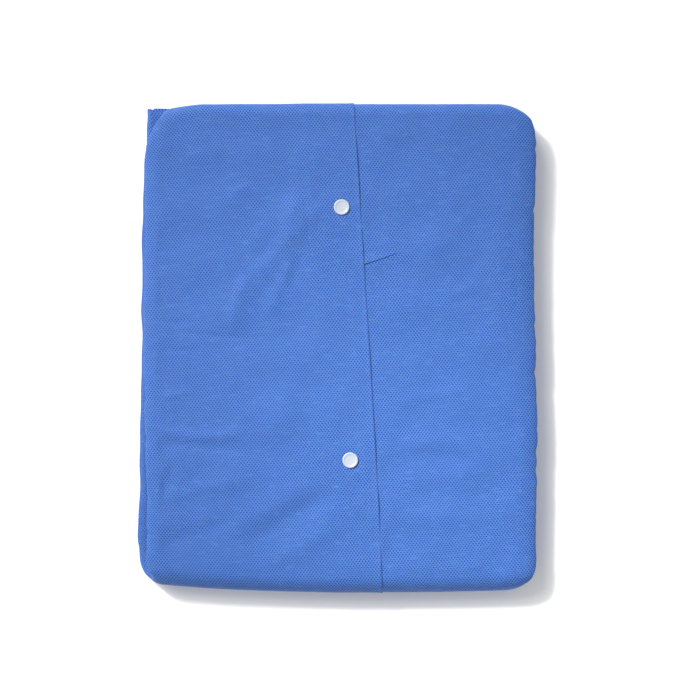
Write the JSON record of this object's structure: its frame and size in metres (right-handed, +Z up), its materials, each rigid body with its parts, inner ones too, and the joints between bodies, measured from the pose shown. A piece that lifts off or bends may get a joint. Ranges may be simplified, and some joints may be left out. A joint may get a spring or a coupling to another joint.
{
  "type": "disposable lab coat",
  "caption": "Thin blue nonwoven coat folded flat in thirds, front up, with its overlapping closure and white snap caps showing.",
  "frame": {"origin": "middle of the flat underside, where the folded coat rests", "axes": "+X to the wearer's left across the front, +Y along the closure towards the fold at the collar end, +Z up out of the front"},
  "size_m": [0.3088, 0.3774, 0.0333],
  "materials": {
    "blue_nonwoven": "spunbond nonwoven with small embossed dots",
    "blue_nonwoven_left": "spunbond nonwoven with small embossed dots",
    "blue_nonwoven_inner": "spunbond nonwoven with small embossed dots",
    "white_snap_plastic": "smooth moulded plastic",
    "white_snap_plastic_lower": "smooth moulded plastic"
  },
  "bodies": {
    "root": {"right_front": "blue_nonwoven", "left_front": "blue_nonwoven_left", "folded_layers": "blue_nonwoven_inner", "upper_snap_cap": "white_snap_plastic", "lower_snap_cap": "white_snap_plastic_lower"}
  },
  "joints": []
}
